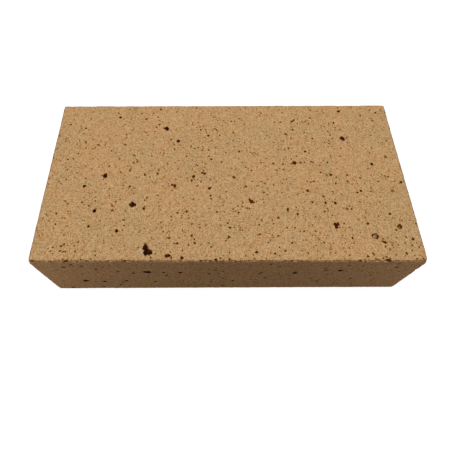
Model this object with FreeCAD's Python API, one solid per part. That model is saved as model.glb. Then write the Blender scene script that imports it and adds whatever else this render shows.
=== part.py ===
import FreeCAD, Part
import os
from dataclasses import dataclass
from enum import Enum

# A dense refractory firebrick: one dry-pressed, fired block of fireclay.
# Its frame has +X along the length, +Y from the front stretcher to the back one and +Z up.
# The origin is the middle of the bottom bed. All sizes are in millimetres.

# The block
LENGTH = 250.0
WIDTH = 124.0
THICKNESS = 64.0

# The edges, which the press die and handling leave slightly round
CORNER_ARRIS_RADIUS = 1.8
TOP_ARRIS_RADIUS = 1.5
BOTTOM_ARRIS_RADIUS = 1.0


class End(Enum):
    """The end of the brick that a mark is measured from."""

    LEFT = -1
    RIGHT = 1


class Side(Enum):
    """The long side of the brick that a mark is measured from."""

    FRONT = -1
    BACK = 1


@dataclass(frozen=True)
class BedCrater:
    """A shallow round hollow in the top bed, where a melted iron spot has burst.

    Attributes:
        end: The end that the distance along the brick is measured from.
        from_end: Distance from that end to the crater's middle.
        side: The long side that the distance across is measured from.
        from_side: Distance from that side to the crater's middle.
        width: Diameter of the crater's mouth.
        depth: Depth of the crater below the bed.
    """

    end: End
    from_end: float
    side: Side
    from_side: float
    width: float
    depth: float


@dataclass(frozen=True)
class FrontCrater:
    """A shallow round hollow in the front stretcher face.

    Attributes:
        end: The end that the distance along the brick is measured from.
        from_end: Distance from that end to the crater's middle.
        below_top: Distance from the top bed down to the crater's middle.
        width: Diameter of the crater's mouth.
        depth: Depth of the crater below the face.
    """

    end: End
    from_end: float
    below_top: float
    width: float
    depth: float


@dataclass(frozen=True)
class ArrisChip:
    """A scoop knocked out of the top edge of a long side.

    Attributes:
        end: The end that the distance along the edge is measured from.
        from_end: Distance from that end to the chip's middle.
        side: The long side whose top edge is chipped.
        length: Length of the chip along the sharp edge.
        depth: Depth of the chip below the sharp edge.
    """

    end: End
    from_end: float
    side: Side
    length: float
    depth: float


# The burst iron spots that stand out on the top bed.
# The first three overlap in the largest crater, and the three after the fifth in a heart-shaped one.
BED_CRATERS = (
    BedCrater(End.LEFT, 72.9, Side.FRONT, 8.9, width=3.6, depth=0.9),
    BedCrater(End.LEFT, 73.5, Side.FRONT, 5.8, width=3.8, depth=1.1),
    BedCrater(End.LEFT, 76.4, Side.FRONT, 5.6, width=2.6, depth=0.8),
    BedCrater(End.LEFT, 61.6, Side.FRONT, 38.9, width=3.8, depth=0.9),
    BedCrater(End.RIGHT, 108.0, Side.FRONT, 41.0, width=3.8, depth=0.9),
    BedCrater(End.RIGHT, 54.3, Side.FRONT, 24.4, width=2.8, depth=0.7),
    BedCrater(End.RIGHT, 52.5, Side.FRONT, 24.5, width=2.8, depth=0.7),
    BedCrater(End.RIGHT, 53.7, Side.FRONT, 22.5, width=2.8, depth=0.7),
    BedCrater(End.RIGHT, 12.8, Side.FRONT, 22.7, width=3.4, depth=0.7),
    BedCrater(End.RIGHT, 30.1, Side.FRONT, 16.1, width=4.4, depth=0.9),
    BedCrater(End.LEFT, 40.7, Side.FRONT, 60.9, width=3.2, depth=0.8),
    BedCrater(End.LEFT, 81.6, Side.BACK, 21.9, width=3.2, depth=0.8),
    BedCrater(End.RIGHT, 38.3, Side.BACK, 31.8, width=3.2, depth=0.8),
    BedCrater(End.LEFT, 90.6, Side.BACK, 33.6, width=2.4, depth=0.6),
    BedCrater(End.RIGHT, 75.7, Side.BACK, 52.5, width=2.4, depth=0.6),
    BedCrater(End.LEFT, 89.5, Side.FRONT, 53.2, width=2.6, depth=0.6),
    BedCrater(End.LEFT, 27.5, Side.FRONT, 53.2, width=2.4, depth=0.5),
    BedCrater(End.LEFT, 37.1, Side.FRONT, 34.2, width=2.2, depth=0.5),
    BedCrater(End.LEFT, 53.4, Side.FRONT, 20.2, width=2.2, depth=0.5),
    BedCrater(End.LEFT, 102.7, Side.FRONT, 60.3, width=2.4, depth=0.5),
    BedCrater(End.LEFT, 92.4, Side.FRONT, 11.4, width=2.4, depth=0.5),
)

# The burst iron spots that stand out on the front stretcher face
FRONT_CRATERS = (
    FrontCrater(End.LEFT, 71.7, 23.0, width=3.6, depth=0.8),
    FrontCrater(End.LEFT, 25.2, 43.3, width=3.6, depth=0.7),
    FrontCrater(End.RIGHT, 49.8, 21.1, width=3.0, depth=0.6),
    FrontCrater(End.RIGHT, 79.0, 26.5, width=3.0, depth=0.6),
    FrontCrater(End.LEFT, 18.8, 12.3, width=2.4, depth=0.5),
    FrontCrater(End.LEFT, 93.6, 24.7, width=2.2, depth=0.5),
)

# The chips along the front top edge
ARRIS_CHIPS = (
    ArrisChip(End.RIGHT, 25.7, Side.FRONT, length=6.0, depth=1.6),
    ArrisChip(End.LEFT, 96.5, Side.FRONT, length=4.6, depth=1.2),
    ArrisChip(End.LEFT, 117.7, Side.FRONT, length=4.0, depth=1.1),
)

# The directions into the brick from its top bed and from its front stretcher face
INTO_TOP = FreeCAD.Vector(0, 0, -1)
INTO_FRONT = FreeCAD.Vector(0, 1, 0)


def along(end: End, from_end: float) -> float:
    """Return the X of a point that lies a given distance in from one end."""
    return end.value * (LENGTH / 2 - from_end)


def across(side: Side, from_side: float) -> float:
    """Return the Y of a point that lies a given distance in from one long side."""
    return side.value * (WIDTH / 2 - from_side)


def scoop(mouth: FreeCAD.Vector, inward: FreeCAD.Vector, width: float, depth: float) -> Part.Shape:
    """Make the ball whose cap, cut from the brick, leaves a hollow of a given width and depth.

    Args:
        mouth: Middle of the hollow's mouth, on the uncut surface or sharp edge.
        inward: Direction from the mouth into the brick.
        width: Diameter of the cap at the mouth.
        depth: Depth of the cap below the mouth.

    Returns:
        The ball, placed so that it reaches the given depth into the brick.
    """
    half_width = width / 2
    radius = (half_width ** 2 + depth ** 2) / (2 * depth)
    direction = FreeCAD.Vector(inward)
    direction.normalize()
    centre = mouth - direction * (radius - depth)
    return Part.makeSphere(radius, centre)


def is_upright(edge: Part.Edge) -> bool:
    """Tell whether an edge of the plain block runs up from bed to bed."""
    bounds = edge.BoundBox
    return bounds.ZLength > max(bounds.XLength, bounds.YLength)


def is_level_at(edge: Part.Edge, height: float) -> bool:
    """Tell whether the whole of an edge lies level at a given height."""
    bounds = edge.BoundBox
    tolerance = 1e-4
    return abs(bounds.ZMin - height) < tolerance and abs(bounds.ZMax - height) < tolerance


def pressed_block() -> Part.Shape:
    """Make the block as it leaves the press, with its upright and bed edges rounded."""
    corner = FreeCAD.Vector(-LENGTH / 2, -WIDTH / 2, 0)
    block = Part.makeBox(LENGTH, WIDTH, THICKNESS, corner)
    block = block.makeFillet(CORNER_ARRIS_RADIUS, [edge for edge in block.Edges if is_upright(edge)])
    top_edges = [edge for edge in block.Edges if is_level_at(edge, THICKNESS)]
    block = block.makeFillet(TOP_ARRIS_RADIUS, top_edges)
    bottom_edges = [edge for edge in block.Edges if is_level_at(edge, 0)]
    return block.makeFillet(BOTTOM_ARRIS_RADIUS, bottom_edges)


def bed_crater_scoop(crater: BedCrater) -> Part.Shape:
    """Make the ball that cuts one crater in the top bed."""
    x = along(crater.end, crater.from_end)
    y = across(crater.side, crater.from_side)
    mouth = FreeCAD.Vector(x, y, THICKNESS)
    return scoop(mouth, INTO_TOP, crater.width, crater.depth)


def front_crater_scoop(crater: FrontCrater) -> Part.Shape:
    """Make the ball that cuts one crater in the front stretcher face."""
    x = along(crater.end, crater.from_end)
    mouth = FreeCAD.Vector(x, across(Side.FRONT, 0), THICKNESS - crater.below_top)
    return scoop(mouth, INTO_FRONT, crater.width, crater.depth)


def arris_chip_scoop(chip: ArrisChip) -> Part.Shape:
    """Make the ball that cuts one chip, aimed halfway between the bed and the stretcher face."""
    mouth = FreeCAD.Vector(along(chip.end, chip.from_end), across(chip.side, 0), THICKNESS)
    inward = FreeCAD.Vector(0, -chip.side.value, -1)
    return scoop(mouth, inward, chip.length, chip.depth)


def firebrick() -> Part.Shape:
    """Make the whole brick: the pressed block with its craters and chips cut in."""
    scoops = [bed_crater_scoop(crater) for crater in BED_CRATERS]
    scoops += [front_crater_scoop(crater) for crater in FRONT_CRATERS]
    scoops += [arris_chip_scoop(chip) for chip in ARRIS_CHIPS]
    brick = pressed_block().cut(scoops)
    return Part.Solid(brick.Solids[0])


def report(name: str, shape: Part.Shape) -> None:
    """Print the size and volume of a piece, and whether it is one sound solid."""
    box = shape.optimalBoundingBox()
    litres = shape.Volume / 1e6
    print(f"{name}: {box.XLength:.2f} x {box.YLength:.2f} x {box.ZLength:.2f} mm, "
          f"{litres:.4f} litres, {len(shape.Faces)} faces, valid {shape.isValid()}")


def main() -> None:
    """Build the brick and write it to its file."""
    os.makedirs("parts", exist_ok=True)
    brick = firebrick()
    report("firebrick", brick)
    brick.exportStep("parts/firebrick.step")


main()
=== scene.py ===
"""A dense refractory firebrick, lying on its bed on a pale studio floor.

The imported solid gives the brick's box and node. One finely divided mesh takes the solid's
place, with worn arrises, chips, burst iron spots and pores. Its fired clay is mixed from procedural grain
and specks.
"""

import logging
import math
from dataclasses import dataclass
from enum import Enum
from functools import reduce

import bmesh
import bpy
import numpy as np
from mathutils import Matrix, Vector, noise


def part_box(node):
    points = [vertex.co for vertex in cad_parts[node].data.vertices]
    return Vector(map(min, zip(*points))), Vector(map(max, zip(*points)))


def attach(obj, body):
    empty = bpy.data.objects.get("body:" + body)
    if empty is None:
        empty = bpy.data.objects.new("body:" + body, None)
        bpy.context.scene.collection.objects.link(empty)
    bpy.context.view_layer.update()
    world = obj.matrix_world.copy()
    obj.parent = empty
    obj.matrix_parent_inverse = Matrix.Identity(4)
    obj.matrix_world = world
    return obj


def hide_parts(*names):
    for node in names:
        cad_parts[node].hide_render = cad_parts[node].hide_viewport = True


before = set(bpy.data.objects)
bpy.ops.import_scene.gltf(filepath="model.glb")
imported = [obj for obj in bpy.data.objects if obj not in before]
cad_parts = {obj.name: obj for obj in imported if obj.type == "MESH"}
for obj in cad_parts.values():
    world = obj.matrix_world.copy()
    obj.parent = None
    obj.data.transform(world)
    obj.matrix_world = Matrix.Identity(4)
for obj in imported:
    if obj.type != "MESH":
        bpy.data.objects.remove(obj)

LOG = logging.getLogger("firebrick")
MM = 0.001
PICTURE_SIDE = 450
SENSOR_WIDTH = 36.0

Tone = tuple[float, float, float]
Tint = tuple[float, float, float, float]
Band = tuple[float, float]
Seen = tuple[float, float, float]
Points = np.ndarray


def linear(tone: Tone) -> Tint:
    """Turn a colour's display values, from 0 to 255, into the linear colour that a shader takes.

    Args:
        tone: Red, green and blue, each from 0 to 255.

    Returns:
        Linear red, green and blue, with an alpha of 1.
    """

    def channel(value: float) -> float:
        """Turn one display value into its linear share, by the sRGB curve."""
        share = value / 255
        return share / 12.92 if share <= 0.04045 else ((share + 0.055) / 1.055) ** 2.4

    red, green, blue = tone
    return channel(red), channel(green), channel(blue), 1.0


def shifted(tone: Tone, step: float) -> Tone:
    """Make a tone lighter or darker by the same number of display values in each channel."""
    red, green, blue = tone
    return red + step, green + step, blue + step


@dataclass(frozen=True)
class Ripple:
    """A smooth random pattern in space.

    Attributes:
        height: About how far it rises and falls.
        size: Rough width of one bump, in millimetres.
        start: Offset that picks another pattern.
    """

    height: float
    size: float
    start: float

    def at(self, points: Points) -> np.ndarray:
        """Sample the pattern at points in millimetres, one to a row."""
        scaled = points / self.size + self.start
        return self.height * np.fromiter((noise.noise(Vector(place)) for place in scaled), float, len(scaled))


def ramp(values: np.ndarray, band: Band) -> np.ndarray:
    """Rise smoothly from 0 where a band starts to 1 where it ends.

    Args:
        values: Any numbers.
        band: The number at which the rise starts, and the one at which it ends.

    Returns:
        The risen numbers, held between 0 and 1.
    """
    low, high = band
    share = np.clip((values - low) / (high - low), 0.0, 1.0)
    return share * share * (3.0 - 2.0 * share)


class Value:
    """The output of a shader node, on which arithmetic adds Math nodes."""

    def __init__(self, board: "Board", socket: bpy.types.NodeSocket) -> None:
        """Wrap one output socket of a node on a board."""
        self.board = board
        self.socket = socket

    def _math(self, operation: str, first: "Operand", second: "Operand") -> "Value":
        """Add one Math node that joins two operands."""
        return self.board.add("ShaderNodeMath", {"operation": operation}, {0: first, 1: second})

    def __add__(self, other: "Operand") -> "Value":
        """Add a value or number."""
        return self._math("ADD", self, other)

    def __radd__(self, other: "Operand") -> "Value":
        """Add this value to a number."""
        return self._math("ADD", other, self)

    def __sub__(self, other: "Operand") -> "Value":
        """Take a value or number away."""
        return self._math("SUBTRACT", self, other)

    def __rsub__(self, other: "Operand") -> "Value":
        """Take this value away from a number."""
        return self._math("SUBTRACT", other, self)

    def __mul__(self, other: "Operand") -> "Value":
        """Multiply by a value or number."""
        return self._math("MULTIPLY", self, other)

    def __rmul__(self, other: "Operand") -> "Value":
        """Multiply a number by this value."""
        return self._math("MULTIPLY", other, self)

    def most(self, other: "Operand") -> "Value":
        """Keep the larger of this and another value."""
        return self._math("MAXIMUM", self, other)

    def power(self, exponent: "Operand") -> "Value":
        """Raise to a power."""
        return self._math("POWER", self, exponent)

    def rise(self, low: float, high: float) -> "Value":
        """Rise smoothly from 0 at low to 1 at high.

        Args:
            low: Value at which the rise starts.
            high: Value at which the rise ends.

        Returns:
            The risen value, held between 0 and 1.
        """
        settings = {"interpolation_type": "SMOOTHSTEP"}
        inputs = {"Value": self, "From Min": low, "From Max": high}
        return self.board.add("ShaderNodeMapRange", settings, inputs)

    def also(self, name: str) -> "Value":
        """Wrap another output of the same node."""
        return Value(self.board, self.board.socket(self.socket.node.outputs, name))


Operand = Value | float


class Board:
    """The node tree of one material or world, on which nodes are laid."""

    def __init__(self, tree: bpy.types.NodeTree) -> None:
        """Clear the tree and take it over."""
        tree.nodes.clear()
        self.tree = tree

    @staticmethod
    def socket(sockets: bpy.types.bpy_prop_collection, key: int | str) -> bpy.types.NodeSocket:
        """Find a socket by its place, its identifier or its name.

        Args:
            sockets: The inputs or outputs of a node.
            key: Place in the list, identifier or name.

        Returns:
            The socket that was found.
        """
        if isinstance(key, int):
            return sockets[key]
        found = [one for one in sockets if one.identifier == key]
        return found[0] if found else sockets[key]

    def add(
        self,
        kind: str,
        settings: dict[str, object] | None = None,
        inputs: dict[int | str, object] | None = None,
        output: int | str = 0,
    ) -> Value:
        """Lay one node, set it up and feed it.

        Args:
            kind: The node's type.
            settings: Its properties, with a ramp's stops as (place, tone) pairs under "stops".
            inputs: Values, or numbers and colours, by input.
            output: The output to hand back.

        Returns:
            The chosen output of the new node.
        """
        node = self.tree.nodes.new(kind)
        for name, setting in (settings or {}).items():
            if name == "stops":
                self._set_stops(node.color_ramp.elements, setting)
            else:
                setattr(node, name, setting)
        for key, feed in (inputs or {}).items():
            target = self.socket(node.inputs, key)
            if isinstance(feed, Value):
                self.tree.links.new(feed.socket, target)
            else:
                target.default_value = feed
        if not node.outputs:
            return Value(self, node.inputs[0])
        return Value(self, self.socket(node.outputs, output))

    @staticmethod
    def _set_stops(elements: bpy.types.ColorRampElements, stops: list[tuple[float, Tone]]) -> None:
        """Give a colour ramp its stops.

        Args:
            elements: The ramp's own stops.
            stops: The wanted ones, as (place, tone) pairs.
        """
        while len(elements) < len(stops):
            elements.new(1.0)
        for element, (place, tone) in zip(elements, stops):
            element.position = place
            element.color = linear(tone)

    def blend(self, share: Operand, first: object, second: object, mode: str = "MIX") -> Value:
        """Mix two colours.

        Args:
            share: How much of the second colour to take, from 0 to 1.
            first: The colour at a share of 0.
            second: The colour at a share of 1.
            mode: How the second colour acts on the first.

        Returns:
            The mixed colour.
        """
        settings = {"data_type": "RGBA", "blend_type": mode}
        inputs = {"Factor_Float": share, "A_Color": first, "B_Color": second}
        return self.add("ShaderNodeMix", settings, inputs, "Result_Color")


@dataclass(frozen=True)
class Eye:
    """Where the photograph was taken from, and how its picture was framed.

    Attributes:
        place: The camera's place, in millimetres.
        azimuth: Turn to the right of straight in front, in degrees.
        elevation: Height above level, in degrees.
        roll: Turn about the line of sight, in degrees.
        lens: Focal length for the full sensor width, in millimetres.
        centre_column: Pixel column that the line of sight meets.
        centre_row: Pixel row that the line of sight meets.
        nearest: Distance from which things are shown, in metres.
    """

    place: tuple[float, float, float] = (-9.75, -141.42, 316.10)
    azimuth: float = 0.490
    elevation: float = 57.492
    roll: float = -0.542
    lens: float = 32.898
    centre_column: float = 209.68
    centre_row: float = 151.26
    nearest: float = 0.01

    def turn(self) -> Matrix:
        """Work out the camera's turn.

        Returns:
            The turn, whose columns point right, up and back.
        """
        azimuth = math.radians(self.azimuth)
        elevation = math.radians(self.elevation)
        flat = math.cos(elevation)
        back = Vector((math.sin(azimuth) * flat, -math.cos(azimuth) * flat, math.sin(elevation)))
        aim = (-back).to_track_quat("-Z", "Y").to_matrix()
        return aim @ Matrix.Rotation(math.radians(self.roll), 3, "Z")

    def meet(self, column: float, row: float, point: np.ndarray, outward: np.ndarray) -> np.ndarray:
        """Find the place on a flat face that a pixel shows.

        Args:
            column: Pixels from the picture's left edge.
            row: Pixels from the picture's top edge.
            point: Any point of the face, in millimetres.
            outward: The face's outward direction.

        Returns:
            The place that is seen there, in millimetres.
        """
        focal = self.lens / SENSOR_WIDTH * PICTURE_SIDE
        sight = self.turn() @ Vector((column - self.centre_column, self.centre_row - row, -focal))
        start = np.array(self.place)
        ray = np.array(sight)
        return start + ray * ((point - start) @ outward) / (ray @ outward)

    def build(self) -> None:
        """Make the camera and look through it."""
        data = bpy.data.cameras.new("camera")
        data.sensor_width = SENSOR_WIDTH
        data.lens = self.lens
        data.shift_x = 0.5 - self.centre_column / PICTURE_SIDE
        data.shift_y = self.centre_row / PICTURE_SIDE - 0.5
        data.clip_start = self.nearest
        camera = bpy.data.objects.new("camera", data)
        camera.matrix_world = Matrix.Translation(Vector(self.place) * MM) @ self.turn().to_4x4()
        bpy.context.scene.collection.objects.link(camera)
        bpy.context.scene.camera = camera


class Face(Enum):
    """A face of the brick: its outward direction, and the directions across and up its flat map."""

    TOP = ((0, 0, 1), (1, 0, 0), (0, 1, 0))
    BOTTOM = ((0, 0, -1), (1, 0, 0), (0, -1, 0))
    FRONT = ((0, -1, 0), (1, 0, 0), (0, 0, 1))
    BACK = ((0, 1, 0), (-1, 0, 0), (0, 0, 1))
    LEFT = ((-1, 0, 0), (0, 0, 1), (0, 1, 0))
    RIGHT = ((1, 0, 0), (0, 0, -1), (0, 1, 0))

    def __init__(self, *directions: tuple[int, int, int]) -> None:
        """Turn the three directions into vectors."""
        self.outward, self.across, self.up = (np.array(direction, float) for direction in directions)


class Mark(Enum):
    """A kind of mark on the skin.

    Its value is the depth of its hollow as a share of its width. Chips and nicks have depths of their own.
    """

    IRON = 0.22
    PORE = 0.20
    RUST = 0.10
    CHIP = 0.28
    ASH = 0.01

    @property
    def attribute(self) -> str:
        """The mesh attribute that tells how far each point lies from such a mark."""
        return f"{self.name.lower()}_gap"


# The kinds of mark that have a colour of their own, a pore's being partly painted shade in its hollow, and
# the mesh attribute that tells how far each point lies from the nearest sharp edge, along which shade is
# painted
COLOURED_MARKS = (Mark.IRON, Mark.PORE, Mark.RUST, Mark.ASH)
ARRIS_GAP = "arris_gap"


class Crowd:
    """Points sorted along the brick, so that those near a place are quickly found."""

    def __init__(self, points: Points) -> None:
        """Sort the points.

        Args:
            points: Places in millimetres, one to a row.
        """
        self.points = points
        self.order = np.argsort(points[:, 0])
        self.line = points[self.order, 0]

    def near(self, place: np.ndarray, reach: float) -> np.ndarray:
        """Find the points within a distance of a place.

        Args:
            place: The place, in millimetres.
            reach: The distance, in millimetres.

        Returns:
            The numbers of the points.
        """
        first, last = np.searchsorted(self.line, [place[0] - reach, place[0] + reach])
        found = self.order[first:last]
        return found[np.linalg.norm(self.points[found] - place, axis=1) < reach]


@dataclass(frozen=True)
class Scar:
    """One mark on the skin of the brick, as a cap of a rough ball pressed into it.

    Attributes:
        place: Middle of the mark's mouth, in millimetres.
        inward: Direction into the brick, of length 1.
        width: Diameter of the mark's mouth, in millimetres.
        depth: Depth of its hollow, in millimetres.
        mark: What the mark is.
        lobes: How far the edge wanders, as a share of half the width.
        lobe_size: Size of one lobe of the edge, as a share of the width.
        lobe_start: Offset that picks the pattern of the lobes.
        grit: How the coarse grain roughens the mark.
    """

    place: np.ndarray
    inward: np.ndarray
    width: float
    depth: float
    mark: Mark
    lobes: float = 0.38
    lobe_size: float = 0.45
    lobe_start: float = 0.37
    grit: Ripple = Ripple(0.12, 0.7, 5.3)

    @property
    def radius(self) -> float:
        """The ball's radius, in millimetres."""
        return ((self.width / 2) ** 2 + self.depth**2) / (2 * self.depth)

    def away(self, points: Points) -> Points:
        """Give the vectors from the ball's centre to points."""
        return points - (self.place - self.inward * (self.radius - self.depth))

    def gap(self, points: Points) -> np.ndarray:
        """Measure how far points lie outside the mark's ragged edge.

        Args:
            points: Places in millimetres, one to a row.

        Returns:
            Distances along the skin in millimetres, below 0 inside the mark.
        """
        half_width = self.width / 2
        plain = (np.linalg.norm(self.away(points), axis=1) - self.radius) * self.radius / half_width
        edge = Ripple(self.lobes * half_width, self.lobe_size * self.width, self.place[0] + self.lobe_start)
        return plain - edge.at(points) - self.grit.at(points)

    def carve(self, points: Points, crowd: Crowd) -> None:
        """Push the points that lie in the ball out to its rough surface, which leaves the hollow.

        Args:
            points: The skin's points in millimetres, changed in place.
            crowd: The same points before any mark was carved.
        """
        near = crowd.near(self.place, self.width)
        gap = self.gap(points[near])
        hit = near[gap < 0]
        away = self.away(points[hit])
        distance = np.linalg.norm(away, axis=1)
        reach = distance - gap[gap < 0] * self.width / 2 / self.radius
        points[hit] += away * (reach / distance - 1.0)[:, None]


# The marks that stand out in the picture. Each has the column and row that it is seen at, and its width in
# millimetres. The first seven iron spots run together into the largest one.
IRON_SPOTS: tuple[Seen, ...] = (
    (145.2, 247.9, 3.5), (145.3, 245.2, 1.7), (145.0, 243.6, 1.0), (146.0, 252.8, 3.6), (146.6, 250.4, 3.0),
    (150.2, 252.7, 3.0), (148.3, 250.7, 2.2), (131.8, 204.4, 3.7), (134.9, 204.6, 1.9), (131.7, 206.6, 1.4),
    (335.2, 224.2, 2.3), (338.2, 223.8, 2.1), (336.5, 227.2, 2.3), (336.6, 225.4, 2.0), (400.2, 225.9, 1.3),
    (105.4, 176.0, 3.2), (167.0, 128.5, 3.5), (164.3, 128.1, 1.5), (178.2, 141.0, 2.5), (341.9, 138.2, 3.1),
    (342.8, 139.0, 2.6), (294.5, 162.6, 3.0), (174.8, 185.6, 2.4), (172.4, 184.8, 1.8), (84.7, 185.8, 2.1),
    (94.3, 210.9, 2.4), (116.5, 230.7, 2.4), (169.1, 255.5, 2.1), (166.5, 255.9, 2.1), (181.9, 257.8, 2.1),
    (215.9, 260.0, 1.9), (120.5, 117.5, 2.0), (71.0, 124.7, 1.8), (98.0, 144.8, 1.5), (136.9, 161.4, 1.7),
    (160.9, 109.4, 1.7), (159.7, 124.7, 1.8), (208.3, 135.6, 1.7), (214.2, 128.8, 1.4), (217.0, 130.7, 1.4),
    (157.5, 173.5, 1.5), (202.4, 172.8, 1.6), (204.6, 173.4, 1.8), (291.7, 121.3, 1.4), (294.0, 119.9, 1.3),
    (285.5, 133.8, 1.9), (234.0, 177.0, 1.9), (338.2, 111.2, 2.2), (375.2, 112.5, 1.7), (333.2, 122.7, 1.8),
    (305.0, 151.5, 1.7), (386.0, 156.8, 1.7), (371.9, 164.1, 2.2), (330.7, 174.8, 2.1), (60.8, 245.7, 1.7),
    (209.4, 188.3, 2.0), (186.9, 211.3, 1.9), (195.0, 242.8, 1.8), (312.5, 202.0, 1.5), (298.0, 214.0, 1.9),
    (229.2, 237.2, 1.8), (225.8, 240.7, 1.2), (256.3, 252.0, 1.9), (401.0, 182.2, 1.7), (325.5, 202.8, 1.6),
    (335.4, 202.8, 2.2), (389.9, 213.7, 1.9), (385.1, 242.6, 2.0), (383.2, 241.6, 1.5), (324.2, 242.2, 1.5),
    (368.0, 256.3, 1.4), (413.1, 238.8, 1.9), (406.9, 253.4, 1.5), (423.5, 258.6, 1.2),
)
PORES: tuple[Seen, ...] = (
    (399.7, 226.7, 3.4), (375.4, 236.2, 4.3), (143.6, 208.9, 2.1), (145.0, 207.4, 1.4), (396.2, 229.8, 1.7),
    (220.5, 258.0, 1.6), (71.5, 259.6, 1.1), (125.5, 144.8, 1.8), (126.8, 134.7, 1.4), (68.0, 159.3, 1.7),
    (70.0, 142.2, 1.3), (146.7, 118.8, 1.8), (158.2, 117.0, 1.4), (156.8, 127.2, 1.6), (171.2, 139.4, 1.8),
    (142.7, 139.8, 1.3), (174.3, 149.3, 1.8), (191.4, 146.0, 1.4), (211.4, 115.3, 1.3), (158.4, 170.5, 1.3),
    (145.0, 174.2, 1.7), (149.9, 177.0, 1.3), (193.7, 176.5, 2.3), (238.5, 118.5, 1.3), (226.2, 118.3, 1.3),
    (292.5, 129.8, 1.7), (291.0, 138.5, 1.3), (280.0, 128.7, 1.3), (227.0, 143.8, 1.4), (226.0, 152.7, 1.5),
    (239.2, 151.4, 1.8), (257.5, 154.3, 1.4), (288.8, 148.3, 1.3), (282.8, 164.3, 1.6), (265.2, 166.0, 1.5),
    (310.0, 118.0, 1.6), (304.2, 132.5, 1.5), (329.0, 143.8, 1.4), (340.9, 148.0, 1.4), (311.3, 161.4, 1.8),
    (327.5, 162.3, 1.6), (388.2, 176.8, 1.5), (90.5, 193.7, 1.3), (95.2, 200.9, 1.7), (88.2, 226.6, 1.8),
    (46.2, 214.5, 1.3), (62.9, 251.5, 1.8), (65.4, 251.6, 1.4), (45.2, 253.8, 1.3), (129.8, 186.3, 1.8),
    (191.7, 180.2, 1.5), (191.2, 182.0, 1.1), (210.4, 195.7, 1.8), (144.0, 228.3, 1.3), (139.0, 232.0, 1.3),
    (191.4, 235.7, 1.8), (174.1, 243.4, 1.6), (177.1, 243.1, 1.8), (243.8, 187.0, 1.4), (273.5, 185.0, 1.4),
    (307.8, 190.8, 2.1), (310.8, 182.3, 1.3), (288.0, 209.0, 1.7), (288.0, 210.8, 1.4), (230.0, 227.5, 1.7),
    (242.8, 201.7, 1.4), (242.0, 206.5, 1.3), (287.3, 227.8, 1.3), (294.8, 227.5, 1.6), (308.3, 253.2, 1.3),
    (264.0, 202.3, 1.3), (333.0, 191.7, 1.3), (349.9, 227.5, 1.4), (358.7, 219.5, 1.3), (367.9, 223.8, 1.8),
    (373.5, 253.8, 1.7), (390.0, 249.8, 1.4), (249.5, 198.9, 1.5), (250.1, 200.7, 2.0), (251.9, 201.0, 1.9),
    (251.2, 202.3, 1.8), (253.1, 202.3, 1.8), (84.6, 191.3, 1.5), (335.6, 183.1, 1.5), (229.5, 213.6, 1.5),
    (147.1, 197.2, 1.5), (77.8, 242.0, 1.5), (412.7, 245.3, 1.4), (157.6, 195.2, 1.4), (405.9, 237.0, 1.5),
    (360.9, 190.7, 1.9), (86.2, 128.3, 1.6), (81.5, 126.8, 1.4), (133.5, 162.5, 1.6), (134.5, 155.5, 1.4),
    (130.0, 170.7, 1.6), (86.0, 114.5, 1.4), (129.5, 109.8, 1.4), (176.7, 112.2, 1.6), (146.2, 132.5, 1.6),
    (211.3, 159.4, 1.7), (203.4, 170.5, 1.4), (187.2, 178.0, 1.6), (186.2, 173.0, 1.4), (274.5, 122.3, 1.4),
    (278.0, 149.3, 1.6), (221.5, 162.0, 1.6), (245.5, 167.2, 1.4), (251.2, 170.5, 1.4), (276.7, 170.5, 1.4),
    (360.2, 115.2, 1.6), (312.4, 138.5, 1.6), (339.7, 129.3, 1.4), (304.4, 162.3, 1.4), (300.7, 162.5, 1.6),
    (326.7, 175.2, 1.6), (336.7, 177.5, 1.6), (321.0, 172.3, 1.6), (384.7, 175.8, 1.4), (112.2, 210.2, 1.6),
    (123.5, 220.0, 1.8), (56.4, 213.4, 1.6), (123.2, 185.5, 1.6), (64.0, 244.3, 1.4), (82.0, 250.5, 1.4),
    (144.7, 200.3, 1.4), (217.2, 211.8, 1.6), (182.5, 230.2, 1.6), (249.5, 208.8, 1.4), (232.8, 209.3, 1.6),
    (238.7, 212.5, 1.5), (296.5, 207.3, 1.4), (272.3, 219.0, 1.3), (227.7, 223.2, 1.6), (260.0, 234.3, 1.6),
    (270.0, 233.3, 1.4), (278.3, 235.7, 1.6), (279.7, 247.3, 1.6), (275.3, 253.5, 1.6), (229.5, 252.5, 1.4),
    (247.2, 235.7, 1.4), (309.2, 153.2, 1.4), (349.2, 180.8, 1.4), (314.0, 181.3, 1.4), (268.2, 242.2, 1.4),
    (323.5, 196.2, 1.6), (352.7, 238.0, 1.6), (416.4, 223.8, 1.4), (417.3, 258.4, 1.4), (387.0, 256.8, 1.3),
    (383.4, 258.2, 1.2), (385.2, 260.6, 1.1), (390.6, 258.2, 1.2),
)
RUST_GRAINS: tuple[Seen, ...] = (
    (347.2, 209.0, 2.4), (392.4, 190.7, 2.8), (202.0, 244.0, 1.4), (192.2, 223.5, 2.1), (246.5, 207.8, 1.2),
    (388.4, 237.4, 1.8), (331.2, 249.4, 2.0), (330.6, 244.6, 1.4), (293.0, 121.0, 1.9),
)
ASH_STAINS: tuple[Seen, ...] = ((140.2, 250.2, 2.4), (141.4, 252.2, 2.0), (401.5, 229.0, 1.6))
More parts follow.
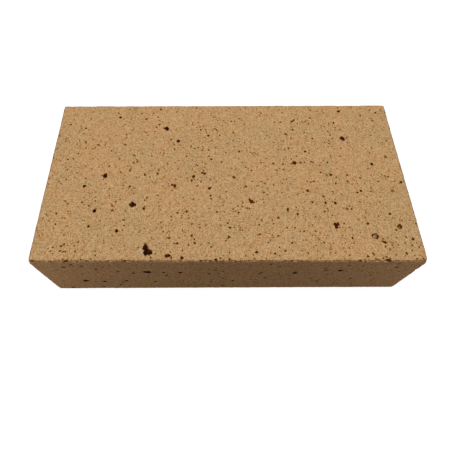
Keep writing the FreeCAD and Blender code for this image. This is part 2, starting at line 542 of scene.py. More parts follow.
# The marks of the front stretcher face, given in the same way
FRONT_SPOTS: tuple[Seen, ...] = (
    (147.0, 272.2, 5.1), (85.6, 280.4, 4.3), (83.0, 281.0, 2.1), (340.0, 270.9, 3.5), (294.5, 273.3, 3.5),
    (63.3, 267.3, 2.6), (179.9, 272.7, 2.9), (103.9, 281.4, 2.8), (81.0, 266.4, 2.1), (259.0, 273.5, 2.0),
    (261.6, 272.6, 1.9), (264.2, 277.8, 1.9), (222.8, 278.4, 2.0), (396.8, 267.4, 2.3), (315.7, 281.5, 2.4),
    (332.6, 283.4, 1.9), (231.7, 280.7, 2.2), (348.9, 266.1, 2.2), (362.8, 266.1, 1.9), (72.7, 287.0, 2.9),
    (132.9, 273.2, 2.2), (166.0, 275.4, 2.8), (163.2, 272.5, 1.9), (215.4, 270.7, 2.2), (208.7, 273.8, 2.0),
    (215.6, 268.5, 2.0), (154.6, 281.5, 2.3), (125.6, 280.6, 2.6), (120.0, 284.4, 2.2), (103.2, 286.6, 2.4),
    (349.6, 278.9, 2.0), (271.2, 264.3, 2.1), (398.8, 264.1, 1.9), (221.6, 285.4, 2.6),
)
FRONT_PORES: tuple[Seen, ...] = (
    (95.3, 269.8, 2.2), (326.1, 270.8, 2.2), (222.8, 272.0, 2.1), (103.0, 267.3, 1.8), (326.0, 274.6, 1.8),
    (70.6, 264.9, 1.9), (117.5, 271.6, 2.0), (128.7, 269.1, 2.0), (147.1, 277.2, 1.7), (210.6, 281.6, 1.9),
    (194.1, 282.6, 1.9), (95.4, 281.6, 2.0), (279.4, 266.9, 1.7), (325.0, 268.5, 1.8), (310.6, 278.8, 1.8),
    (378.7, 273.8, 1.7), (398.8, 271.6, 1.8), (370.0, 276.0, 1.7), (122.5, 282.0, 1.9), (207.5, 285.8, 1.8),
)
# What each list holds: the face that its marks are on, and their kind
SEEN_MARKS: tuple[tuple[Face, Mark, tuple[Seen, ...]], ...] = (
    (Face.TOP, Mark.IRON, IRON_SPOTS),
    (Face.TOP, Mark.PORE, PORES),
    (Face.TOP, Mark.RUST, RUST_GRAINS),
    (Face.TOP, Mark.ASH, ASH_STAINS),
    (Face.FRONT, Mark.IRON, FRONT_SPOTS),
    (Face.FRONT, Mark.PORE, FRONT_PORES),
)


@dataclass(frozen=True)
class ArrisChip:
    """A chip in the front top edge.

    Attributes:
        from_left: Distance from the left end, in millimetres.
        length: Length of the chip along the sharp edge, in millimetres.
        depth: Depth of the chip below the sharp edge, in millimetres.
    """

    from_left: float
    length: float
    depth: float


ARRIS_CHIPS = (
    ArrisChip(224.3, 6.0, 1.6),
    ArrisChip(96.5, 4.6, 1.2),
    ArrisChip(117.7, 4.0, 1.1),
)


@dataclass(frozen=True)
class Grain:
    """A smooth noise pattern in the clay.

    Attributes:
        size: Rough width of one bump, in millimetres.
        detail: How many finer patterns are laid over it.
        roughness: How strong each of them is beside the one before.
    """

    size: float
    detail: float
    roughness: float

    def lay(self, board: Board, place: Value, output: int | str = 0) -> Value:
        """Lay the pattern's node.

        Args:
            board: Where the node goes.
            place: Each point's place in millimetres.
            output: The node's output to hand back.

        Returns:
            The pattern, from 0 to 1.
        """
        inputs = {"Vector": place, "Scale": 1.0 / self.size}
        inputs |= {"Detail": self.detail, "Roughness": self.roughness}
        return board.add("ShaderNodeTexNoise", {"normalize": True}, inputs, output)


@dataclass(frozen=True)
class Specks:
    """Small dark specks, one at most to each cell of space.

    Attributes:
        spacing: Size of one cell, in millimetres.
        largest: Radius of the largest speck, in millimetres.
        rarity: Power that makes large specks rare.
        edge: How deep in a speck it starts to show, and shows in full, in millimetres.
    """

    spacing: float
    largest: float
    rarity: float
    edge: Band

    def lay(self, board: Board, place: Value) -> Value:
        """Lay the specks' nodes.

        Args:
            board: Where the nodes go.
            place: Each point's place in millimetres.

        Returns:
            How deep each point lies in the nearest speck, in millimetres, below 0 outside.
        """
        inputs = {"Vector": place, "Scale": 1.0 / self.spacing, "Randomness": 1.0}
        distance = board.add("ShaderNodeTexVoronoi", {"feature": "F1"}, inputs, "Distance")
        chance = board.add("ShaderNodeSeparateColor", None, {"Color": distance.also("Color")}, "Green")
        return chance.power(self.rarity) * self.largest - distance * self.spacing


@dataclass(frozen=True)
class Stain:
    """A colour that lies over the clay where a level is high or low enough.

    Attributes:
        tone: The colour.
        share: How much of it shows at the most.
        band: The levels at which it starts to show and shows in full.
    """

    tone: Tone
    share: float
    band: Band

    def over(self, colour: Value, level: Value) -> Value:
        """Lay the stain over a colour."""
        return colour.board.blend(level.rise(*self.band) * self.share, colour, linear(self.tone))


@dataclass(frozen=True)
class FiredClay:
    """The finish of the brick: sandy fired clay with grog, rust and melted iron spots.

    Tones are display values from 0 to 255, tints are linear multipliers, and sizes and depths are in
    millimetres.
    """

    slot: str = "fireclay"
    # The ground: its tone, how its grains are stepped from dark to light, and how slow patches tint it
    clay: Tone = (193, 154, 107)
    clay_steps: tuple[float, ...] = (-60, -27, 0, 14, 36)
    warm_tint: Tint = (1.020, 0.986, 0.966, 1.0)
    pale_tint: Tint = (0.980, 1.014, 1.034, 1.0)
    warm_band: Band = (0.80, 1.08)
    # What lies over it: by a grain's own level, by depth in a speck, or by distance from a mark or an edge
    cream_grog: Stain = Stain((212, 180, 136), 0.38, (0.88, 0.97))
    brown_grog: Stain = Stain((146, 106, 66), 0.34, (0.12, 0.03))
    halo: Stain = Stain((172, 122, 60), 0.75, (-0.38, 0.02))
    # painted shade: a dark brown along the brick's edges, for crumbled grain that lies in shade
    crumb_shade: Stain = Stain((96, 63, 36), 0.62, (0.35, 0.70))
    ash: Stain = Stain((196, 170, 146), 0.80, (0.50, -0.70))
    rust: Stain = Stain((130, 68, 10), 0.85, (0.30, -0.50))
    iron_rim: Stain = Stain((130, 68, 10), 0.65, (0.45, 0.0))
    # Specks, pores and melted iron, and how deep in a mark they show
    speck: Tone = (88, 44, 0)
    iron: Tone = (20, 7, 2)
    iron_brown: Tone = (90, 42, 6)
    iron_edge: Band = (0.15, -0.20)
    brown_mottle: Band = (0.40, 0.62)
    brown_depth: Band = (-1.5, -0.2)
    # pores: their dark colour, fuller at the rim than in the middle, is partly the clay's own and partly
    # painted shade in the hollow
    pore_shade_edge: Band = (0.20, -0.20)
    pore_shade_rim: Band = (-1.3, -0.8)
    pore_shade_middle: float = 0.2
    # The noise patterns, and the sizes of the sand and grog grains
    grain: Grain = Grain(0.36, 2.5, 0.65)
    coarse: Grain = Grain(1.8, 2.0, 0.55)
    cloud: Grain = Grain(7.0, 1.0, 0.5)
    patch: Grain = Grain(24.0, 2.0, 0.5)
    mottle: Grain = Grain(1.6, 2.0, 0.6)
    # crumbs: the noise that breaks up the painted shade along the edges
    crumbs: Grain = Grain(1.8, 3.0, 0.65)
    ragged: Grain = Grain(0.7, 2.0, 0.6)
    bend: Grain = Grain(1 / 1.3, 2.0, 0.5)
    sand_size: float = 0.38
    grog_size: float = 1.4
    # How far each pattern lightens the ground, how far noise moves the edges of the marks, and how the
    # painted shade of the dark crumbs fades away from the brick's edges
    grain_middle: float = 0.53
    coarse_weight: float = 0.06
    sand_weight: float = 0.72
    patch_weight: float = 0.08
    patch_pull: float = 0.9
    ragged_depth: float = 0.9
    crumb_shade_gain: float = 2.4
    crumb_shade_fall: float = 0.55
    crumb_shade_floor: float = 0.35
    # The specks too fine to be listed as marks
    specks: tuple[Specks, ...] = (
        Specks(4.6, 0.85, 4.5, (-0.05, 0.10)),
        Specks(2.6, 0.70, 3.4, (-0.05, 0.12)),
        Specks(1.7, 0.55, 3.4, (-0.05, 0.12)),
    )
    # How far each pattern stands out as relief, and how matte the surface is
    grain_relief: float = 0.16
    coarse_relief: float = 0.07
    cell_relief: float = 0.05
    speck_relief: float = 0.15
    melt_levelling: float = 0.5
    bump_strength: float = 0.6
    roughness: float = 0.93
    melt_shine: float = 0.2
    specular: float = 0.04

    def material(self) -> bpy.types.Material:
        """Mix the clay's material.

        Returns:
            The finished material.
        """
        material = bpy.data.materials.new("fired_clay")
        material.use_nodes = True
        board = Board(material.node_tree)
        place = self._place(board)
        grain = self.grain.lay(board, place)
        coarse = self.coarse.lay(board, place)
        sand = self._cells(board, place, self.sand_size)
        grog = self._cells(board, place, self.grog_size)
        colour = self._clay_colour(board, place, grain + coarse * self.coarse_weight, sand, grog)
        specks, depth = self._specks(board, place)
        colour = board.blend(specks, self.halo.over(colour, depth), linear(self.speck))
        colour, melt = self._spots(board, place, colour)
        relief = grain * self.grain_relief + coarse * self.coarse_relief + sand * self.cell_relief
        relief = relief + grog * self.cell_relief - specks * self.speck_relief
        relief = relief * (1.0 - melt * self.melt_levelling)
        bump = {"Strength": self.bump_strength, "Distance": MM, "Height": relief}
        surface = board.add(
            "ShaderNodeBsdfPrincipled",
            None,
            {
                "Base Color": colour,
                "Roughness": self.roughness - melt * self.melt_shine,
                "Normal": board.add("ShaderNodeBump", None, bump),
                "Specular IOR Level": self.specular,
            },
        )
        board.add("ShaderNodeOutputMaterial", None, {"Surface": surface})
        return material

    @staticmethod
    def _place(board: Board) -> Value:
        """Give each point's place on the brick, in millimetres."""
        place = board.add("ShaderNodeTexCoord", None, None, "Object")
        return board.add("ShaderNodeVectorMath", {"operation": "SCALE"}, {0: place, "Scale": 1.0 / MM})

    @staticmethod
    def _cells(board: Board, place: Value, size: float) -> Value:
        """Split the clay into grains that each have a random level of their own.

        Args:
            board: Where the nodes go.
            place: Each point's place in millimetres.
            size: Rough width of one grain, in millimetres.

        Returns:
            The level of each point's grain, from 0 to 1.
        """
        inputs = {"Vector": place, "Scale": 1.0 / size, "Randomness": 1.0}
        cells = board.add("ShaderNodeTexVoronoi", {"feature": "F1"}, inputs, "Color")
        return board.add("ShaderNodeSeparateColor", None, {"Color": cells}, "Red")

    def _clay_colour(self, board: Board, place: Value, grain: Value, sand: Value, grog: Value) -> Value:
        """Mix the clay's ground colour from fine grain, grog and slow patches.

        Args:
            board: Where the nodes go.
            place: Each point's place in millimetres.
            grain: Smooth fine noise.
            sand: A random level for each small grain.
            grog: A random level for each large grain.

        Returns:
            The ground colour.
        """
        cloud = self.cloud.lay(board, place)
        patch = self.patch.lay(board, place)
        level = grain - self.grain_middle + (sand - 0.5) * self.sand_weight
        level = level + (patch - 0.5) * self.patch_weight + 0.5
        last = len(self.clay_steps) - 1
        stops = [(index / last, shifted(self.clay, step)) for index, step in enumerate(self.clay_steps)]
        colour = board.add("ShaderNodeValToRGB", {"stops": stops}, {"Fac": level}, "Color")
        warmth = (patch * self.patch_pull + cloud).rise(*self.warm_band)
        tint = board.blend(warmth, self.pale_tint, self.warm_tint)
        colour = board.blend(1.0, colour, tint, "MULTIPLY")
        return self.brown_grog.over(self.cream_grog.over(colour, grog), grog)

    def _specks(self, board: Board, place: Value) -> tuple[Value, Value]:
        """Scatter coarse and fine specks with ragged edges.

        Args:
            board: Where the nodes go.
            place: Each point's place in millimetres.

        Returns:
            How much of a speck each point is, from 0 to 1, and how deep it lies in the nearest one.
        """
        wander = self.bend.lay(board, place, "Color")
        bent = board.add("ShaderNodeVectorMath", {"operation": "ADD"}, {0: place, 1: wander})
        depths = [specks.lay(board, bent) for specks in self.specks]
        shares = [depth.rise(*specks.edge) for depth, specks in zip(depths, self.specks)]
        return reduce(Value.most, shares), reduce(Value.most, depths)

    def _spots(self, board: Board, place: Value, colour: Value) -> tuple[Value, Value]:
        """Lay the marks that the mesh carries over the ground colour, with painted shade along the brick's
        edges and some in the pores.

        Args:
            board: Where the nodes go.
            place: Each point's place in millimetres.
            colour: The ground colour.

        Returns:
            The colour with its marks, and how much of a melted spot each point is.
        """
        ragged = (self.ragged.lay(board, place) - 0.5) * self.ragged_depth
        gaps = {mark: self._noted(board, mark.attribute) + ragged for mark in COLOURED_MARKS}
        # painted shade along the brick's edges: a dark brown for crumbled grain in shade, fading away from
        # the edges
        crumbs = self.crumbs.lay(board, place) * self.crumb_shade_gain
        crumbs = crumbs - self._noted(board, ARRIS_GAP) * self.crumb_shade_fall - self.crumb_shade_floor
        colour = self.crumb_shade.over(colour, crumbs)
        colour = self.ash.over(colour, gaps[Mark.ASH])
        colour = self.rust.over(colour, gaps[Mark.RUST])
        pore_gap, iron_gap = gaps[Mark.PORE], gaps[Mark.IRON]
        # pores: the speck colour, fuller at the rim than in the middle, partly painted shade in the hollow
        rim_shade = self.pore_shade_middle + pore_gap.rise(*self.pore_shade_rim) * (1.0 - self.pore_shade_middle)
        colour = board.blend(pore_gap.rise(*self.pore_shade_edge) * rim_shade, colour, linear(self.speck))
        colour = self.iron_rim.over(colour, iron_gap)
        melt = iron_gap.rise(*self.iron_edge)
        brown = self.mottle.lay(board, place).rise(*self.brown_mottle) * iron_gap.rise(*self.brown_depth)
        iron = board.blend(brown, linear(self.iron), linear(self.iron_brown))
        return board.blend(melt, colour, iron), melt

    @staticmethod
    def _noted(board: Board, name: str) -> Value:
        """Read the distance that the mesh holds for each point under a name."""
        return board.add("ShaderNodeAttribute", {"attribute_name": name}, None, "Fac")


@dataclass
class Firebrick:
    """The brick: a pressed block of fired clay with worn edges and scattered marks.

    Sizes are in millimetres and turns in degrees. The block's length, width and thickness come from the
    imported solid. Its foot lies slightly askew under its top, as firing left it.
    """

    eye: Eye
    node: str = "firebrick"
    body: str = "root"
    # Radii of the edges, which change near the beds, wander along the edges and grow near the corners
    corner_arris: float = 0.7
    top_arris: float = 1.6
    bottom_arris: float = 1.0
    bed_zone: Band = (1.5, 5.0)
    arris_wander: Ripple = Ripple(0.35, 9.0, 0.7)
    corner_wear: float = 0.5
    corner_zone: Band = (0.5, 6.0)
    # How far the foot lies along and across from where the top is, and how far it is turned
    foot_shift: tuple[float, float] = (0.60, 0.07)
    foot_turn: float = 0.204
    # Waves of the faces, which sink by their own height on average
    waves: Ripple = Ripple(0.05, 34.0, 3.1)
    # Crumbled grain of the edges, its slow scallops, how far both sink, and the distances that they reach
    crumbs: tuple[Ripple, Ripple] = (Ripple(0.40, 1.6, 9.4), Ripple(0.18, 0.7, 4.2))
    scallops: Ripple = Ripple(0.24, 4.0, 1.9)
    edge_sink: float = 0.12
    crumb_start: float = 0.5
    edge_band: float = 2.4
    # Distance from an edge within which the outward directions of its two faces blend
    rounding: float = 2.5
    # How much less the other edges are worn than the front top one, and how far from it this starts
    spared: float = 0.7
    spared_zone: Band = (3.0, 6.0)
    # Cells of the mesh: on the flats, near edges and small marks, and near large marks. They may be longer
    # than that by the slack, and a mark is large from the width given.
    flat_cell: float = 2.0
    edge_cell: float = 0.5
    spot_cell: float = 0.25
    cell_slack: float = 1.5
    large_mark: float = 1.8
    # How far small cells reach from a mark, as a share of its width and beyond that
    mark_reach: float = 0.62
    mark_margin: float = 0.3
    # Distance from a mark up to which the mesh notes it, and the gap between two faces on the flat map
    farthest: float = 2.0
    map_margin: float = 4.0
    # Chance nicks along the edges: their number, the share that is put on the front top edge, the least
    # length and what is added at the most, the least depth and what is added for the length, and the share
    # of dark ones, which take the pores' colour as painted shade in the nick
    edge_nicks: int = 260
    front_share: float = 0.35
    nick_length: float = 1.4
    nick_growth: float = 2.8
    nick_depth: float = 0.50
    nick_slope: Band = (0.08, 0.22)
    shaded_nicks: float = 0.5
    # Chance marks on the faces: their number, the share of a face that they keep to, their least width, the
    # largest one on the faces that the picture shows and on the others, and the shares of iron spots, pores
    # and rust grains
    stray_marks: int = 240
    stray_spread: float = 0.97
    stray_least: float = 1.0
    stray_seen: float = 1.2
    stray_hidden: float = 3.6
    stray_shares: tuple[float, float, float] = (0.45, 0.45, 0.10)
    seed: int = 23
    finish: FiredClay = FiredClay()

    def __post_init__(self) -> None:
        """Take the block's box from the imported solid."""
        low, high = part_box(self.node)
        self.low = np.array(low) / MM
        self.high = np.array(high) / MM
        self.middle = (self.low + self.high) / 2
        self.half = (self.high - self.low) / 2
        self.chance = np.random.default_rng(self.seed)

    def build(self) -> bpy.types.Object:
        """Build the brick, dress it and put it in the solid's place.

        Returns:
            The finished piece.
        """
        scars = self.scars()
        mesh = self.sharp_mesh(scars)
        sharp = self.read_points(mesh)
        self.lay_map(mesh, sharp)
        worn = self.round_arrises(sharp)
        crowd = Crowd(worn)
        skin = worn.copy()
        self.wear(skin, sharp)
        for scar in scars:
            scar.carve(skin, crowd)
        self.skew(skin)
        mesh.vertices.foreach_set("co", (skin * MM).ravel())
        mesh.update()
        mesh.shade_smooth()
        self.note_marks(mesh, crowd, scars)
        # the distance to the edges, which places the painted shade along them
        self.note(mesh, ARRIS_GAP, np.minimum(self.edge_gap(sharp), self.edge_band))
        piece = bpy.data.objects.new("brick_body", mesh)
        bpy.context.scene.collection.objects.link(piece)
        mesh.materials.append(self.finish.material())
        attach(piece, self.body)
        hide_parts(self.node)
        triangles = sum(len(polygon.vertices) - 2 for polygon in mesh.polygons)
        LOG.info("%s: %d points, %d triangles, %d marks", piece.name, len(sharp), triangles, len(scars))
        return piece

    def scars(self) -> list[Scar]:
        """List every mark.

        Returns:
            The marks that the picture shows, the chips, the nicks along the edges and the strays.
        """
        scars = [self.seen_scar(face, mark, seen) for face, mark, group in SEEN_MARKS for seen in group]
        scars += [self.arris_scar(chip) for chip in ARRIS_CHIPS]
        scars += [self.nick() for _ in range(self.edge_nicks)]
        scars += [self.stray() for _ in range(self.stray_marks)]
        return scars

    def seen_scar(self, face: Face, mark: Mark, seen: Seen) -> Scar:
        """Place one mark where the picture shows it.

        Args:
            face: The face that it is on.
            mark: What the mark is.
            seen: Its column and row in the picture, and its width.

        Returns:
            The mark on its face.
        """
        column, row, width = seen
        place = self.eye.meet(column, row, self.middle + face.outward * self.half, face.outward)
        return Scar(place, -face.outward, width, width * mark.value, mark)

    def arris_scar(self, chip: ArrisChip) -> Scar:
        """Place one chip of the front top edge.

        Args:
            chip: The chip.

        Returns:
            The chip on its edge, aimed halfway between the two faces.
        """
        place = np.array([self.low[0] + chip.from_left, self.low[1], self.high[2]])
        inward = np.array([0.0, 1.0, -1.0]) / math.sqrt(2)
        return Scar(place, inward, chip.length, chip.depth, Mark.CHIP)

    def nick(self) -> Scar:
        """Make one small chance nick.

        Returns:
            The nick, somewhere along the twelve edges.
        """
        run = self.chance.choice(3, p=self.half / self.half.sum())
        signs = self.chance.choice([-1.0, 1.0], 3)
        if self.chance.random() < self.front_share:
            run = 0
            signs = np.array([1.0, -1.0, 1.0])
        offset = signs * self.half
        offset[run] = self.chance.uniform(-1.0, 1.0) * self.half[run]
        inward = -signs / math.sqrt(2)
        inward[run] = 0.0
        length = self.nick_length + self.nick_growth * self.chance.random() ** 3
        depth = self.nick_depth + length * self.chance.uniform(*self.nick_slope)
        # a dark nick takes the pores' colour: painted shade in its hollow
        mark = Mark.PORE if self.chance.random() < self.shaded_nicks else Mark.CHIP
        return Scar(self.middle + offset, inward, length, depth, mark)

    def stray(self) -> Scar:
        """Make one small chance mark.

        Returns:
            The mark, somewhere on the six faces, and smaller on those that the picture shows.
        """
        areas = np.array([np.prod(self.half) / abs(face.outward @ self.half) for face in Face])
        face = list(Face)[self.chance.choice(len(areas), p=areas / areas.sum())]
        spread = self.chance.uniform(-self.stray_spread, self.stray_spread, 3) * (1.0 - abs(face.outward))
        place = self.middle + (face.outward + spread) * self.half
        largest = self.stray_seen if face in (Face.TOP, Face.FRONT) else self.stray_hidden
        width = self.stray_least + (largest - self.stray_least) * self.chance.random() ** 3
        mark = (Mark.IRON, Mark.PORE, Mark.RUST)[self.chance.choice(3, p=self.stray_shares)]
        return Scar(place, -face.outward, width, width * mark.value, mark)

    def sharp_mesh(self, scars: list[Scar]) -> bpy.types.Mesh:
        """Make the block's skin with sharp edges, finely divided near its edges and marks.

        Args:
            scars: The marks that need small cells.

        Returns:
            The mesh, in millimetres.
        """
        build = bmesh.new()
        bmesh.ops.create_cube(build, size=1.0)
        grow = Matrix.Translation(self.middle) @ Matrix.Diagonal((*(2 * self.half), 1.0))
        bmesh.ops.transform(build, matrix=grow, verts=build.verts)
        for axis in range(3):
            along = [edge for edge in build.edges if abs(self.run_of(edge)[axis]) > self.half[axis]]
            cells = round(2 * self.half[axis] / self.flat_cell)
            bmesh.ops.subdivide_edges(build, edges=along, cuts=cells - 1, use_grid_fill=True)
        while True:
            edges = list(build.edges)
            ends = np.array([(*edge.verts[0].co, *edge.verts[1].co) for edge in edges])
            lengths = np.linalg.norm(ends[:, :3] - ends[:, 3:], axis=1)
            wanted = self.wanted_cells((ends[:, :3] + ends[:, 3:]) / 2, scars)
            long_edges = [edges[index] for index in np.flatnonzero(lengths > self.cell_slack * wanted)]
            if not long_edges:
                break
            bmesh.ops.subdivide_edges(build, edges=long_edges, cuts=1, use_grid_fill=True)
        mesh = bpy.data.meshes.new("brick_body")
        build.to_mesh(mesh)
        build.free()
        return mesh

    @staticmethod
    def run_of(edge: bmesh.types.BMEdge) -> Vector:
        """Give the vector from one end of an edge to the other."""
        return edge.verts[1].co - edge.verts[0].co

    def edge_gap(self, points: Points) -> np.ndarray:
        """Measure each point's distance to the nearest sharp edge of the block."""
        return np.sort(self.half - np.abs(points - self.middle), axis=1)[:, 1]

    def wanted_cells(self, points: Points, scars: list[Scar]) -> np.ndarray:
        """Say how small the mesh's cells should be at each point.

        Args:
            points: Places on the sharp block.
            scars: The marks that need small cells.

        Returns:
            The wanted cell at each point, in millimetres.
        """
        wanted = np.where(self.edge_gap(points) < self.edge_band, self.edge_cell, self.flat_cell)
        crowd = Crowd(points)
        for scar in scars:
            large = scar.width >= self.large_mark and scar.mark is not Mark.CHIP
            near = crowd.near(scar.place, scar.width * self.mark_reach + self.mark_margin)
            wanted[near] = np.minimum(wanted[near], self.spot_cell if large else self.edge_cell)
        return wanted

    @staticmethod
    def read_points(mesh: bpy.types.Mesh) -> Points:
        """Read a mesh's points.

        Args:
            mesh: The mesh.

        Returns:
            Its points, one to a row.
        """
        points = np.empty(len(mesh.vertices) * 3)
        mesh.vertices.foreach_get("co", points)
        return points.reshape(-1, 3)

    def lay_map(self, mesh: bpy.types.Mesh, sharp: Points) -> None:
        """Lay the six faces side by side on one square map, all at the same scale.

        Args:
            mesh: The mesh, with its edges still sharp.
            sharp: Its points.
        """
        margin = self.map_margin
        length, width, thickness = 2 * self.half
        corners = {
            Face.TOP: (margin, margin),
            Face.BOTTOM: (margin, 2 * margin + width),
            Face.FRONT: (margin, 3 * margin + 2 * width),
            Face.BACK: (margin, 4 * margin + 2 * width + thickness),
            Face.LEFT: (2 * margin + length, margin),
            Face.RIGHT: (2 * margin + length, 2 * margin + width),
        }
        sheet = 5 * margin + 2 * (width + thickness)
        loops = len(mesh.loops)
        corner_points = np.empty(loops, int)
        mesh.loops.foreach_get("vertex_index", corner_points)
        normals = np.empty(len(mesh.polygons) * 3)
        mesh.polygons.foreach_get("normal", normals)
        sizes = np.empty(len(mesh.polygons), int)
        mesh.polygons.foreach_get("loop_total", sizes)
        loop_normals = np.repeat(normals.reshape(-1, 3), sizes, axis=0)
        offsets = sharp[corner_points] - self.middle
        places = np.empty((loops, 2))
        for face, corner in corners.items():
            mine = loop_normals @ face.outward > 0.5
            places[mine, 0] = corner[0] + abs(face.across @ self.half) + offsets[mine] @ face.across
            places[mine, 1] = corner[1] + abs(face.up @ self.half) + offsets[mine] @ face.up
        layer = mesh.uv_layers.new(name="OFBake")
        layer.data.foreach_set("uv", (places / sheet).ravel())

    def round_arrises(self, sharp: Points) -> Points:
        """Round the block's edges over, with a radius that wanders along them and grows at the corners.

        Args:
            sharp: Points on the sharp block.

        Returns:
            The same points on the rounded block.
        """
        offset = sharp - self.middle
        radius = np.where(offset[:, 2] > 0, self.top_arris, self.bottom_arris)
        to_bed = self.half[2] - np.abs(offset[:, 2])
        radius = radius + (self.corner_arris - radius) * ramp(to_bed, self.bed_zone)
        radius = radius * (1.0 + self.arris_wander.at(sharp))
        to_corner = np.linalg.norm(self.half - np.abs(offset), axis=1)
        radius = radius + self.corner_wear * (1.0 - ramp(to_corner, self.corner_zone)) * self.handling(sharp)
        inner_half = self.half - radius[:, None]
        inner = np.clip(offset, -inner_half, inner_half)
        outward = offset - inner
        outward /= np.linalg.norm(outward, axis=1)[:, None]
        return inner + outward * radius[:, None] + self.middle

    def wear(self, skin: Points, sharp: Points) -> None:
        """Roughen the skin: faint waves on the flats, and crumbled grain along the edges.

        Args:
            skin: Points on the rounded block, changed in place.
            sharp: The same points on the sharp block.
        """
        outward = self.outward_from(skin)
        sink = self.waves.height + self.waves.at(sharp)
        gap = self.edge_gap(sharp)
        near = np.flatnonzero(gap < self.edge_band)
        worn = (1.0 - ramp(gap[near], (self.crumb_start, self.edge_band))) * self.handling(sharp[near])
        crumbs = sum(crumb_shade.at(sharp[near]) for crumb_shade in self.crumbs)
        sink[near] += worn * (self.edge_sink + crumbs + self.scallops.at(sharp[near]))
        skin -= outward * np.maximum(sink, 0.0)[:, None]

    def handling(self, sharp: Points) -> np.ndarray:
        """Say how hard each point was handled.

        Args:
            sharp: Points on the sharp block.

        Returns:
            1 along the front top edge, and less along the others.
        """
        offset = sharp - self.middle
        reach = np.maximum(self.half[1] + offset[:, 1], self.half[2] - offset[:, 2])
        return 1.0 - self.spared * ramp(reach, self.spared_zone)

    def skew(self, skin: Points) -> None:
        """Shift and turn the brick's foot a little under its top.

        Args:
            skin: Points of the worn and marked skin, changed in place.
        """
        share = (self.high[2] - skin[:, 2]) / (2 * self.half[2])
        turn = math.radians(self.foot_turn)
        across, deep = (skin[:, :2] - self.middle[:2]).T.copy()
        skin[:, 0] += share * (self.foot_shift[0] - turn * deep)
        skin[:, 1] += share * (self.foot_shift[1] + turn * across)

    def outward_from(self, skin: Points) -> Points:
        """Work out which way is outward.

        Args:
            skin: Points on the rounded block.

        Returns:
            The outward direction at each of them, of length 1.
        """
        offset = skin - self.middle
        reach = self.half - self.rounding
        outward = offset - np.clip(offset, -reach, reach)
        return outward / np.linalg.norm(outward, axis=1)[:, None]

    def note_marks(self, mesh: bpy.types.Mesh, crowd: Crowd, scars: list[Scar]) -> None:
        """Note on the mesh how far each point lies from the edge of the nearest mark of each kind.

        Args:
            mesh: The brick's mesh.
            crowd: Its points before the marks were carved.
            scars: The marks.
        """
        for mark in COLOURED_MARKS:
            gap = np.full(len(crowd.points), self.farthest)
            for scar in scars:
                if scar.mark is mark:
                    near = crowd.near(scar.place, scar.width / 2 + self.farthest)
                    gap[near] = np.minimum(gap[near], scar.gap(crowd.points[near]))
            self.note(mesh, mark.attribute, gap)

    @staticmethod
    def note(mesh: bpy.types.Mesh, name: str, values: np.ndarray) -> None:
        """Hold one number for each point on a mesh, under a name that the clay reads."""
        mesh.attributes.new(name, "FLOAT", "POINT").data.foreach_set("value", values)


@dataclass(frozen=True)
class Softbox:
    """One soft lamp that faces the middle of the brick.

    Attributes:
        name: Name of the lamp.
        place: Middle of the lamp, in metres.
        size: Its width and height, in metres.
        power: Its power, in watts.
        aim: The place that it faces, in metres.
    """

    name: str
    place: tuple[float, float, float]
    size: tuple[float, float]
    power: float
    aim: tuple[float, float, float] = (0.0, 0.0, 0.03)

    def hang(self) -> None:
        """Make the lamp and turn it to the brick."""
        light = bpy.data.lights.new(self.name, "AREA")
        light.shape = "RECTANGLE"
        light.size, light.size_y = self.size
        light.energy = self.power
        lamp = bpy.data.objects.new(self.name, light)
        lamp.location = self.place
        lamp.rotation_mode = "QUATERNION"
        lamp.rotation_quaternion = (Vector(self.aim) - lamp.location).to_track_quat("-Z", "Y")
        bpy.context.scene.collection.objects.link(lamp)


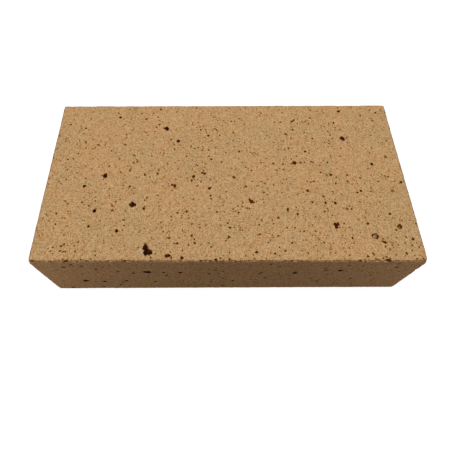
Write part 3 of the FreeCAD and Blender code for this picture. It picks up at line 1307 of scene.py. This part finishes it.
@dataclass
class Studio:
    """The pale floor, the plain sky and the soft lamps round the brick.

    Attributes:
        floor_side: Length and width of the floor, in metres.
        paper: The floor's colour in the light that it gives back.
        glow: The floor's colour to look at.
        sky_level: Strength of the light that the sky gives.
        softboxes: The lamps.
    """

    floor_side: float = 6.0
    paper: Tone = (134, 118, 123)
    glow: Tone = (245, 247, 246)
    sky_level: float = 0.12
    softboxes: tuple[Softbox, ...] = (
        Softbox("softbox_above", (0.0, 0.12, 1.05), (1.1, 0.8), 10.5),
        Softbox("softbox_left", (-0.25, -0.16, 0.06), (0.08, 0.08), 0.090),
        Softbox("softbox_right", (0.25, -0.16, 0.06), (0.08, 0.08), 0.060),
    )

    def build(self) -> None:
        """Set up the studio."""
        self.add_floor()
        self.add_sky()
        for softbox in self.softboxes:
            softbox.hang()
        bpy.context.scene.view_settings.view_transform = "Standard"
        LOG.info("studio: floor, sky and %d softboxes", len(self.softboxes))

    @staticmethod
    def seen_directly(board: Board) -> Value:
        """Tell the rays that show a surface itself from those that only carry its light."""
        path = board.add("ShaderNodeLightPath", None, None, "Is Camera Ray")
        return path.most(path.also("Is Glossy Ray")).most(path.also("Is Transmission Ray"))

    def add_floor(self) -> None:
        """Lay the floor, whose own glow makes it white to look at but lights nothing."""
        half = self.floor_side / 2
        corners = [(-half, -half, 0.0), (half, -half, 0.0), (half, half, 0.0), (-half, half, 0.0)]
        mesh = bpy.data.meshes.new("studio_floor")
        mesh.from_pydata(corners, [], [(0, 1, 2, 3)])
        floor = bpy.data.objects.new("studio_floor", mesh)
        bpy.context.scene.collection.objects.link(floor)
        material = bpy.data.materials.new("floor_paper")
        material.use_nodes = True
        board = Board(material.node_tree)
        black = (0.0, 0.0, 0.0, 1.0)
        paper = board.add(
            "ShaderNodeBsdfPrincipled",
            None,
            {
                "Base Color": linear(self.paper),
                "Roughness": 1.0,
                "Specular IOR Level": 0.0,
                "Emission Color": board.blend(self.seen_directly(board), black, linear(self.glow)),
                "Emission Strength": 1.0,
            },
        )
        board.add("ShaderNodeOutputMaterial", None, {"Surface": paper})
        mesh.materials.append(material)

    def add_sky(self) -> None:
        """Make the surroundings white to look at and dim in the light that they give."""
        world = bpy.data.worlds.new("studio_world")
        world.use_nodes = True
        board = Board(world.node_tree)
        level = self.sky_level + self.seen_directly(board) * (1.0 - self.sky_level)
        sky = board.add("ShaderNodeBackground", None, {"Color": (1.0, 1.0, 1.0, 1.0), "Strength": level})
        board.add("ShaderNodeOutputWorld", None, {"Surface": sky})
        bpy.context.scene.world = world


def main() -> None:
    """Set up the camera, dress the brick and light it."""
    logging.basicConfig(level=logging.INFO, format="%(name)s: %(message)s")
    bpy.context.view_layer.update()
    eye = Eye()
    eye.build()
    Firebrick(eye).build()
    Studio().build()


if __name__ == "__main__":
    main()
